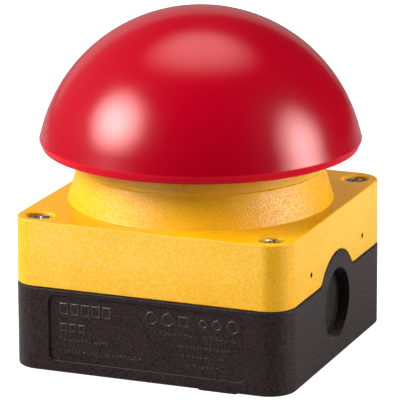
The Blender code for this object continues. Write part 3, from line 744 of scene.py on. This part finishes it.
def make_base():
    """The black lower half: walls, inner lip, screw posts, entries, marking panel, pads and holes."""
    rings = [wall_ring(HALF, depth, PAD_HEIGHT + offset) for depth, offset in reversed(edge_steps(0.35))]
    rings += [wall_ring(HALF, depth, grow=-offset) for depth, offset in edge_steps(0.4)]
    thick = HALF - WALL_INSIDE - 0.3
    rings += [wall_ring(HALF, thick, grow=0.0), wall_ring(HALF, thick, SEAM_Z)]
    base = shape("base_shell", loft(rings))

    lip = shape("lip", loft([square(LIP_HALF, LIP_CORNER, z, 16) for z in (SEAM_Z - 1, LIP_TOP)]))
    entry_floor = HALF - ENTRY_DEPTH
    profile = [
        (0.0, entry_floor), (BACKING_RADIUS, entry_floor), (BACKING_RADIUS, HALF - 1.0), (0.0, HALF - 1.0),
    ]
    backings = []
    for side in (-1, 1):
        backings.append(shape("backing", revolve(profile, 64), (0.0, 0.0, ENTRY_Z), along_x(side)))
    join(base, lip, *backings)
    cavity = [square(CAVITY_HALF, CAVITY_CORNER, z, 16) for z in (FLOOR_TOP, 2 * SEAM_Z)]
    cut(base, shape("cavity", loft(cavity)))

    cells = shape("cells", loft([square(WALL_INSIDE, CELL_CORNER, z, 8) for z in (FLOOR_TOP, 2 * SEAM_Z)]))
    middle = [square(WALL_INSIDE + 0.2, LIP_CORNER - 1, z, 16) for z in (0.0, 3 * SEAM_Z)]
    kept = [shape("kept", loft(middle))]
    kept += [cylinder("post", POST_RADIUS, (0.0, 3 * SEAM_Z), at) for at in SCREW_PLACES]
    cut(cells, *kept)
    cut(base, cells)

    cut(base, entry_cutter(-1), entry_cutter(1), panel_cutter())
    pads = []
    for x, y in PAD_XY:
        rings = [square(PAD_HALF - 0.15, 0.8, 0.0, 4)]
        rings += [square(PAD_HALF, 0.9, z, 4) for z in (0.15, 1.5)]
        pads.append(shape("pad", loft(rings), (x, y, 0.0)))
    for x in (-RAIL_X, RAIL_X):
        pads.append(cylinder("rail_boss", RAIL_BOSS_RADIUS, (FLOOR_TOP - 1, RAIL_BOSS_TOP), (x, 0.0)))
    join(base, *pads)
    holes = [cylinder("fixing", FIXING_RADIUS, (-1.0, 2.8), at) for at in FIXING_XY]
    holes += [cylinder("pilot", PILOT_RADIUS, (9.0, 2 * SEAM_Z), at, 24) for at in SCREW_PLACES]
    holes += [cylinder("rail_pilot", RAIL_PILOT_RADIUS, (1.5, 6.0), (x, 0.0), 24) for x in (-RAIL_X, RAIL_X)]
    cut(base, *holes)
    clean(base.data)

    def on_entry_floor(centre):
        at_floor = abs(abs(centre.x) - entry_floor) < 0.02
        return at_floor and math.hypot(centre.y, centre.z - ENTRY_Z) < ENTRY_RADIUS

    dress(base, MATERIALS["black_plastic"], ENTRY_FLOOR, on_entry_floor)
    finish(base, None, "enclosure", "black_plastic", "base")


def collar_profile():
    """(radius, z) up the collar, over its top and up the guide hub."""
    return rounded([
        (40.6, LID_TOP), (38.75, LID_TOP, 0.35), (36.05, 54.5, 0.5), (36.5, 54.95, 0.22),
        (36.42, COLLAR_TOP, 0.7), (HUB_RADIUS, COLLAR_TOP, 0.25), (HUB_RADIUS, HUB_TOP, 0.3), (9.0, HUB_TOP),
    ], 5)


def make_lid():
    """The yellow upper half: walls, guard collar, guide hub, screw seats and pin holes."""
    inner = LID_HALF - WALL_INSIDE + 0.1
    bottom = SEAM_Z + SEAM_GAP
    rings = [wall_ring(LID_HALF, inner, bottom), wall_ring(LID_HALF, inner, grow=SEAM_GAP)]
    for depth, offset in reversed(edge_steps(0.3)):
        rings.append(wall_ring(LID_HALF, depth, grow=SEAM_GAP + offset))
    draft = 0.1
    rings += [wall_ring(LID_HALF, draft + depth, LID_TOP - offset) for depth, offset in edge_steps(0.4)]
    angles = [math.atan2(y, x) for x, y, _ in rings[-1]]
    for radius, z in collar_profile():
        rings.append([(radius * math.cos(a), radius * math.sin(a), z) for a in angles])
    lid = shape("lid_shell", loft(rings))

    skirt = shape("skirt", loft([square(WALL_INSIDE, CELL_CORNER, z) for z in (0.0, LEDGE_BOTTOM)]))
    levels = (LEDGE_BOTTOM - 1, LEDGE_TOP)
    ledge = shape("ledge", loft([square(CAVITY_HALF - 0.4, LEDGE_CORNER, z, 16) for z in levels]))
    levels = (LEDGE_TOP - 0.05, LID_ROOF)
    chamber = shape("chamber", loft([square(WALL_INSIDE - 1, 5.0, z) for z in levels]))
    cut(lid, skirt, ledge, chamber)
    inside = shape("inside", revolve([
        (0.0, HUB_BOTTOM), (HUB_RADIUS, HUB_BOTTOM), (HUB_RADIUS, CHAMBER_TOP), (33.0, CHAMBER_TOP),
        (33.0, 55.0), (35.5, 42.0), (37.0, 41.4), (37.0, LEDGE_TOP + 0.05), (0.0, LEDGE_TOP + 0.05),
    ], 96))
    cut(lid, inside)
    posts = [cylinder("post", POST_RADIUS, (bottom, LID_ROOF + 1), at) for at in SCREW_PLACES]
    for at in LATCH_PLACES:
        posts.append(cylinder("latch_post", LATCH_POST_RADIUS, (HUB_BOTTOM, CHAMBER_TOP + 1), at, 24))
    join(lid, *posts)
    holes = [cylinder("bore", HUB_BORE, (HUB_BOTTOM - 2, HUB_TOP + 2), steps=64)]
    levels = (HUB_BOTTOM - 1, CHAMBER_TOP - 1)
    holes += [cylinder("latch_pilot", LATCH_PILOT_RADIUS, levels, at, 24) for at in LATCH_PLACES]
    seat = LID_TOP - SCREW_SEAT_DEPTH
    sink = rounded([
        (0.0, LID_TOP + 1), (4.6, LID_TOP + 1), (4.6, LID_TOP + 0.02), (3.72, LID_TOP - 0.55, 0.5),
        (3.68, seat, 0.2), (0.0, seat),
    ], 4)
    for at in SCREW_PLACES:
        holes.append(cylinder("screw_bore", 2.3, (0.0, LID_TOP - 2.0), at, 24))
        holes.append(shape("sink", revolve(sink, 64), (*at, 0.0)))
    pin_hole_end = LID_HALF - PIN_HOLE_DEPTH
    outside = LID_HALF + 0.3
    profile = [
        (0.0, pin_hole_end), (PIN_HOLE_RADIUS, pin_hole_end), (PIN_HOLE_RADIUS, outside), (0.0, outside),
    ]
    for side in (-1, 1):
        for y in (-PIN_HOLE_Y, PIN_HOLE_Y):
            holes.append(shape("pin_hole", revolve(profile, 24), (0.0, y, PIN_HOLE_Z), along_x(side)))
    cut(lid, *holes)
    clean(lid.data)

    def in_pin_hole(centre):
        near = math.hypot(abs(centre.y) - PIN_HOLE_Y, centre.z - PIN_HOLE_Z) < PIN_HOLE_RADIUS + 0.02
        return near and pin_hole_end - 0.1 < abs(centre.x) < LID_HALF - 0.05

    # painted shade: the pin hole walls get a near-black material
    dress(lid, MATERIALS["yellow_plastic"], PIN_HOLE_PAINTED_SHADE, in_pin_hole)
    finish(lid, None, "enclosure", "yellow_plastic", "lid")


# ------------------------------------------------------------------------ head


def dome_arc(radius, start, end, steps):
    """Points on a sphere about the head's centre, between two distances from the axis."""
    first, last = math.asin(start / radius), math.asin(end / radius)
    angles = [first + (last - first) * i / steps for i in range(steps + 1)]
    return [(radius * math.sin(a), DOME_CENTRE_Z + radius * math.cos(a)) for a in angles]


def make_head():
    """The mushroom head: a dome with a turned-in rim, a spring cup, a boss and three crossed ribs."""
    rim = rounded([
        dome_arc(DOME_RADIUS, 0.0, DOME_EDGE, 1)[1], dome_arc(DOME_RADIUS, 0.0, DOME_EDGE + 0.4, 1)[1],
        (46.98, RIM_Z + 2.3, 0.7), (45.95, RIM_Z, 0.35), (43.75, RIM_Z, 0.4), (43.9, RIM_Z + 3.5),
    ], 5)
    cup_bottom = SPRING_SEAT_Z - 3.0
    profile = [
        *dome_arc(DOME_RADIUS, 0.0, DOME_EDGE, 44)[:-1], *rim,
        *dome_arc(HEAD_INNER_RADIUS, 43.6, SPRING_CUP[1], 14),
        (SPRING_CUP[1], cup_bottom), (SPRING_CUP[0], cup_bottom),
        *dome_arc(HEAD_INNER_RADIUS, SPRING_CUP[0], BOSS_RADIUS, 4),
        (BOSS_RADIUS, BOSS_BOTTOM), (0.0, BOSS_BOTTOM),
    ]
    head = shape("head_shell", revolve(profile, 160))
    under = dome_arc(HEAD_INNER_RADIUS + 1.4, 0.0, RIB_HALF_LENGTH, 20)
    outline = [*under, (RIB_HALF_LENGTH, SPRING_SEAT_Z), (-RIB_HALF_LENGTH, SPRING_SEAT_Z)]
    outline += [(-x, z) for x, z in reversed(under[1:])]
    ribs = []
    for i in range(3):
        faces = [[(x, y, z) for x, z in outline] for y in (-RIB_HALF_WIDTH, RIB_HALF_WIDTH)]
        ribs.append(shape("rib", loft(faces), turn=Matrix.Rotation(math.pi * i / 3, 4, "Z")))
    join(head, *ribs)
    holes = [cylinder("socket", STEM_SOCKET_RADIUS, (BOSS_BOTTOM - 1, 80.5))]
    for at in arc((0.0, 0.0), HEAD_SCREW_CIRCLE, 90, 330, 2):
        holes.append(cylinder("pilot", HEAD_PILOT_RADIUS, (BOSS_BOTTOM - 1, 82.0), at, 24))
    cut(head, *holes)
    clean(head.data)
    finish(head, MATERIALS["red_plastic"], "push_head", "red_plastic", "mushroom_head")


# ---------------------------------------------------------------- small pieces


def make_lid_screw(number):
    """A pan-head screw with a crossed recess and a turned thread."""
    low, high = cad_box(f"lid_screw_{number}")
    centre = (low + high) / 2
    radius = (high.x - low.x) / 2
    top = high.z + SCREW_RAISE
    under = top - SCREW_HEAD
    thread = []
    z = low.z + 1.2
    while z < top - 10.0:
        thread += [(THREAD_RADII[0], z), (THREAD_RADII[1], z + THREAD_PITCH / 2)]
        z += THREAD_PITCH
    profile = rounded([
        (0.0, top), (radius - 0.9, top), (radius, top - 0.45, 0.5), (radius, under, 0.15),
        (SHANK_RADIUS, under), (SHANK_RADIUS, top - 9.0),
    ], 4)
    profile += [*reversed(thread), (0.9, low.z + 0.4), (0.0, low.z)]
    screw = shape(f"lid_screw_visual_{number}", revolve(profile, 48))
    steps = ((0.9, 0.22, -1.5), (2.25, 0.42, -0.4), (2.35, 0.46, 0.3))
    slot = [rectangle(half_length, half_width, top + rise) for half_length, half_width, rise in steps]
    for angle in (0.35 * number, 0.35 * number + math.pi / 2):
        cut(screw, shape("cross", loft(slot), turn=Matrix.Rotation(angle, 4, "Z")))
    screw.data.transform(Matrix.Translation((centre.x, centre.y, 0.0)))
    clean(screw.data)
    finish(screw, MATERIALS["zinc_steel"], "enclosure", "zinc_steel", f"lid_screw_{number}")


def coil(name, radius, wire, start, end, turns, per_turn=24):
    """A compression spring between two heights, with closed ends."""
    closed_pitch = 1.3 * wire
    rise = end - start - wire - 2 * closed_pitch
    count = int(turns * per_turn)
    bm = bmesh.new()
    rows = []
    for i in range(count + 1):
        turn = i / per_turn
        middle = min(max(turn - 1.0, 0.0), turns - 2.0) / (turns - 2.0)
        ends = min(turn, 1.0) + max(turn - (turns - 1.0), 0.0)
        angle = 2 * math.pi * turn
        z = start + wire / 2 + closed_pitch * ends + rise * middle
        row = []
        for across, up in arc((0.0, 0.0), wire / 2, 0, 330, 11):
            out = radius + across
            row.append(bm.verts.new((out * math.cos(angle), out * math.sin(angle), z + up)))
        rows.append(row)
    skin(bm, rows)
    bm.faces.new(rows[0])
    bm.faces.new(rows[-1])
    return shape(name, bm)


def squashed(piece):
    """Gives a spring or bellows its own copy of its mesh."""
    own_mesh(piece)


def make_springs():
    """The upright springs, and the latch springs that reach from slide to enclosure."""
    steel = MATERIALS["spring_steel"]
    low, high = cad_box("return_spring")
    spring = coil("return_coil", 18.0, 1.7, low.z, high.z, 4.5, 40)
    finish(spring, steel, "enclosure", "spring_steel", "return_spring")
    squashed(spring)
    for kind in ("no", "nc"):
        low, high = cad_box(f"{kind}_spring")
        spring = coil(f"{kind}_coil", 2.3, 0.6, low.z, high.z, 6)
        spring.data.transform(Matrix.Translation((0.0, (low.y + high.y) / 2, 0.0)))
        finish(spring, steel, "enclosure", "spring_steel", f"{kind}_spring")
        squashed(spring)
    for side, name in ((1, "right"), (-1, "left")):
        low, high = cad_box(f"latch_spring_{name}")
        near, far = (low.x, high.x) if side > 0 else (-high.x, -low.x)
        spring = coil(f"latch_coil_{name}", 1.5, 0.5, near, far, 6)
        place = Matrix.Translation((0.0, 0.0, (low.z + high.z) / 2))
        spring.data.transform(place @ along_x(side))
        finish(spring, steel, None, "spring_steel", f"latch_spring_{name}")
        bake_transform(spring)


def make_bellows():
    """The rubber bellows, with one fold."""
    low, high = cad_box("bellows_seal")
    outside = [
        (15.2, high.z), (14.9, 69.3), (14.95, 68.0, 0.4), (15.95, 66.4, 0.9), (15.3, 64.9, 0.6),
        (14.9, 63.2, 0.3), (14.9, low.z),
    ]
    inside = [
        (13.3, low.z), (13.3, 63.5, 0.4), (13.0, 63.9, 0.2), (14.5, 65.1, 0.5), (15.05, 66.4, 0.6),
        (14.15, 67.9, 0.5), (14.15, 69.4, 0.3), (13.8, 70.2), (13.8, high.z),
    ]
    profile = rounded(outside + inside, 5)
    bellows = shape("bellows_visual", revolve(profile, 96, closed=True))
    finish(bellows, MATERIALS["seal_rubber"], "enclosure", "seal_rubber", "bellows_seal")
    squashed(bellows)


def frame_outline(x, z, width, height):
    """The four (x, z) corners of a frame or bar about its middle."""
    return [(x + sx * width / 2, z + sz * height / 2) for sx, sz in ((-1, -1), (1, -1), (1, 1), (-1, 1))]


def raised_loop(bm, outline, stroke):
    """A raised ridge along a frame or ring of (x, z) points on the floor of the marking panel."""
    middle = sum((Vector(point) for point in outline), Vector((0.0, 0.0))) / len(outline)
    half = stroke / 2
    crest, rise = half * 0.1, RIDGE_SLOPE * half
    section = ((half, -0.05), (half, 0.02), (crest, rise), (-crest, rise), (-half, 0.02), (-half, -0.05))
    rows = []
    for across, up in section:
        row = []
        for x, z in outline:
            out = Vector((x, z)) - middle
            if len(outline) == 4:
                out = Vector((math.copysign(1.0, out.x), math.copysign(1.0, out.y)))
            else:
                out.normalize()
            step = out * across
            row.append(bm.verts.new((x + step.x, PANEL_FLOOR_Y - up, z + step.y)))
        rows.append(row)
    skin(bm, rows, closed=True)


def raised_bar(bm, x, z, width, height):
    """A raised bar with sloping sides on the floor of the marking panel."""
    roof = min(width, height) * 0.45
    rows = []
    for inset, up in ((0.0, -0.05), (0.0, 0.02), (roof, RIDGE_SLOPE * roof)):
        ring = frame_outline(x, z, width - 2 * inset, height - 2 * inset)
        rows.append([bm.verts.new((at_x, PANEL_FLOOR_Y - up, at_z)) for at_x, at_z in ring])
    skin(bm, rows)
    bm.faces.new(rows[-1])
    bm.faces.new(list(reversed(rows[0])))


def make_relief():
    """Plain raised frames, rings and dashes: a stand-in for moulded markings, with nothing to read."""
    dice = random.Random(7)
    bm = bmesh.new()
    for x in (-25.4, -22.1, -18.8, -15.5, -12.2):
        raised_loop(bm, frame_outline(x, 19.4, 2.2, 3.0), 0.64)
    for x in (-25.6, -22.8, -20.0):
        raised_loop(bm, frame_outline(x, 13.9, 1.7, 2.0), 0.52)
    for x, radius in ((1.6, 1.7), (6.6, 1.7), (17.4, 1.1), (21.6, 1.3), (26.4, 1.7)):
        raised_loop(bm, arc((x, 19.6), radius, 0, 345, 23), 0.60)
    raised_loop(bm, frame_outline(11.4, 19.6, 2.6, 2.6), 0.54)
    rows = [
        (-27.0, -12.0, 10.3, 1.3), (-27.0, -2.5, 6.9, 1.3), (1.0, 14.5, 15.6, 1.0), (17.5, 27.5, 15.6, 1.0),
        (9.5, 25.0, 12.4, 0.9), (9.5, 23.5, 9.6, 0.9), (12.0, 22.0, 6.8, 0.9),
    ]
    for start, end, z, height in rows:
        x = start
        while x < end:
            wide = dice.random() < 0.35
            width = dice.uniform(0.7, 1.0) if wide else BAR_WIDTH
            tall = BAR_WIDTH if wide else height * dice.choice((1.0, 1.0, 0.75))
            shift = dice.choice((-0.3, 0.0, 0.3)) * (height - tall)
            raised_bar(bm, x + width / 2, z + shift, width, tall)
            x += width + dice.choice((0.38, 0.45, 0.95))
    relief = shape("panel_relief", bm)
    finish(relief, RAISED_MARKS, "enclosure", "black_plastic")


def dress_cad_nodes():
    """Gives the CAD nodes that still show their material."""
    slots = {entry["node"]: entry["material_slot"] for entry in frame["record"]["subparts"]}
    for name, node in frame["nodes"].items():
        node.data.materials.clear()
        node.data.materials.append(MATERIALS[slots[name]])


# ---------------------------------------------------------------------- studio


CAMERA_AZIMUTH = 21.83
CAMERA_ELEVATION = 15.32
CAMERA_DISTANCE = 984.8
CAMERA_ROLL = -0.20
CAMERA_LENS = 303.3
AIM = Vector((-0.24, -0.10, 43.47))
LIGHT_AIM = Vector((0.0, 0.0, 0.055))
FLOOR_HALF = 4000.0


def direction(azimuth, elevation):
    """The unit vector towards a viewer at that azimuth and elevation in degrees; azimuth 0 is -Y."""
    a, e = math.radians(azimuth), math.radians(elevation)
    return Vector((math.sin(a) * math.cos(e), -math.cos(a) * math.cos(e), math.sin(e)))


def make_camera():
    data = bpy.data.cameras.new("Camera")
    data.sensor_width = 36.0
    data.lens = CAMERA_LENS
    data.clip_end = 20.0
    camera = bpy.data.objects.new("Camera", data)
    bpy.context.scene.collection.objects.link(camera)
    away = direction(CAMERA_AZIMUTH, CAMERA_ELEVATION)
    camera.location = (AIM + away * CAMERA_DISTANCE) * MM
    look = away.to_track_quat("Z", "Y").to_matrix().to_4x4()
    roll = Matrix.Rotation(math.radians(CAMERA_ROLL), 4, "Z")
    camera.matrix_world = Matrix.Translation(camera.location) @ look @ roll
    bpy.context.scene.camera = camera


def softbox(name, azimuth, elevation, distance, size, radiance, softness, reflected=True):
    """An area light aimed at the object and unseen by the camera, fading from its middle to its edge.

    Distance and size are in metres.
    """
    data = bpy.data.lights.new(name, "AREA")
    data.shape = "RECTANGLE"
    data.size, data.size_y = size
    data.energy = radiance * math.pi * size[0] * size[1]
    data.use_nodes = True
    tree = data.node_tree
    glow = tree.nodes["Emission"]
    place = tree.nodes.new("ShaderNodeNewGeometry")
    middle = tree.nodes.new("ShaderNodeVectorMath")
    middle.operation = "DISTANCE"
    middle.inputs[1].default_value = (0.5, 0.5, 0.0)
    fade = tree.nodes.new("ShaderNodeMapRange")
    fade.interpolation_type = "SMOOTHSTEP"
    fade.inputs["From Min"].default_value = 0.5
    fade.inputs["From Max"].default_value = 0.5 * (1.0 - softness)
    tree.links.new(place.outputs["Parametric"], middle.inputs[0])
    tree.links.new(middle.outputs["Value"], fade.inputs["Value"])
    tree.links.new(fade.outputs["Result"], glow.inputs["Strength"])
    light = bpy.data.objects.new(name, data)
    bpy.context.scene.collection.objects.link(light)
    away = direction(azimuth, elevation)
    light.location = LIGHT_AIM + away * distance
    light.rotation_euler = away.to_track_quat("Z", "Y").to_euler()
    light.visible_camera = False
    light.visible_glossy = reflected


def glow_towards(tree, place, towards, stops):
    """A grey level by how near a direction is to the given one, from (cosine, level) stops."""
    dot = tree.nodes.new("ShaderNodeVectorMath")
    dot.operation = "DOT_PRODUCT"
    dot.inputs[1].default_value = towards
    tree.links.new(place, dot.inputs[0])
    ramp = tree.nodes.new("ShaderNodeValToRGB")
    set_stops(ramp, [(position, (level, level, level)) for position, level in stops])
    tree.links.new(dot.outputs["Value"], ramp.inputs["Fac"])
    return ramp.outputs["Color"]


def make_world():
    """A dim room with a pale backdrop and a pale left wall; the camera itself sees plain white."""
    world = bpy.data.worlds.new("Studio")
    bpy.context.scene.world = world
    world.use_nodes = True
    tree = world.node_tree
    tree.nodes.clear()
    add = tree.nodes.new
    place = add("ShaderNodeTexCoord").outputs["Generated"]
    backdrop_stops = ((0.0, 0.0), (0.87, 0.02), (0.89, 0.32))
    wall_stops = ((0.0, 0.0), (0.55, 0.03), (0.9, 0.16))
    backdrop = glow_towards(tree, place, direction(-153.0, 0.0), backdrop_stops)
    wall = glow_towards(tree, place, direction(-95.0, 5.0), wall_stops)
    total = add("ShaderNodeMix")
    total.data_type = "RGBA"
    total.blend_type = "ADD"
    total.inputs[MIX_SHARE].default_value = 1.0
    tree.links.new(backdrop, total.inputs[MIX_FIRST])
    tree.links.new(wall, total.inputs[MIX_SECOND])
    room = add("ShaderNodeBackground")
    tree.links.new(total.outputs[MIX_RESULT], room.inputs["Color"])
    plain = add("ShaderNodeBackground")
    plain.inputs["Color"].default_value = (1.0, 1.0, 1.0, 1.0)
    seen = add("ShaderNodeLightPath")
    mix = add("ShaderNodeMixShader")
    output = add("ShaderNodeOutputWorld")
    tree.links.new(seen.outputs["Is Camera Ray"], mix.inputs["Fac"])
    tree.links.new(room.outputs["Background"], mix.inputs[1])
    tree.links.new(plain.outputs["Background"], mix.inputs[2])
    tree.links.new(mix.outputs["Shader"], output.inputs["Surface"])


def make_floor():
    """A pale floor that the camera sees as plain white."""
    made = Nodes("Pale floor")
    greys = [(0.3, (0.28, 0.28, 0.28)), (0.7, (0.30, 0.30, 0.30))]
    made.feed("Base Color", made.ramp(made.noise(0.01, 2.0), greys))
    made.feed("Roughness", made.spread(made.noise(0.05, 2.0), 0.8, 0.9))
    made.set(Emission_Color=(1.0, 1.0, 1.0, 1.0))
    made.feed("Emission Strength", made.add("ShaderNodeLightPath").outputs["Is Camera Ray"])
    bm = bmesh.new()
    ring = rectangle(FLOOR_HALF, FLOOR_HALF, 0.0)
    bm.faces.new([bm.verts.new(Vector(point) * MM) for point in ring])
    mesh = bpy.data.meshes.new("floor")
    bm.to_mesh(mesh)
    bm.free()
    floor = bpy.data.objects.new("floor", mesh)
    bpy.context.scene.collection.objects.link(floor)
    mesh.materials.append(made.material)


def make_studio():
    make_camera()
    make_world()
    make_floor()
    softbox("Left softbox", -52.0, 32.0, 1.1, (1.12, 0.91), 20.8, 1.0)
    softbox("Right softbox", 100.5, 15.0, 1.2, (1.08, 1.26), 14.3, 1.0)
    softbox("Top softbox", -158.0, 77.0, 1.2, (1.48, 1.15), 2.9, 0.75)
    softbox("Left fill", -57.0, 29.0, 1.3, (1.80, 1.45), 9.2, 1.0, reflected=False)
    softbox("Right fill", 98.0, 27.0, 1.4, (1.80, 1.80), 3.9, 1.0, reflected=False)
    view = bpy.context.scene.view_settings
    view.view_transform = "Standard"
    view.look = "None"


dress_cad_nodes()
make_base()
make_lid()
make_head()
for screw_number in range(1, 5):
    make_lid_screw(screw_number)
make_springs()
make_bellows()
make_relief()
make_studio()
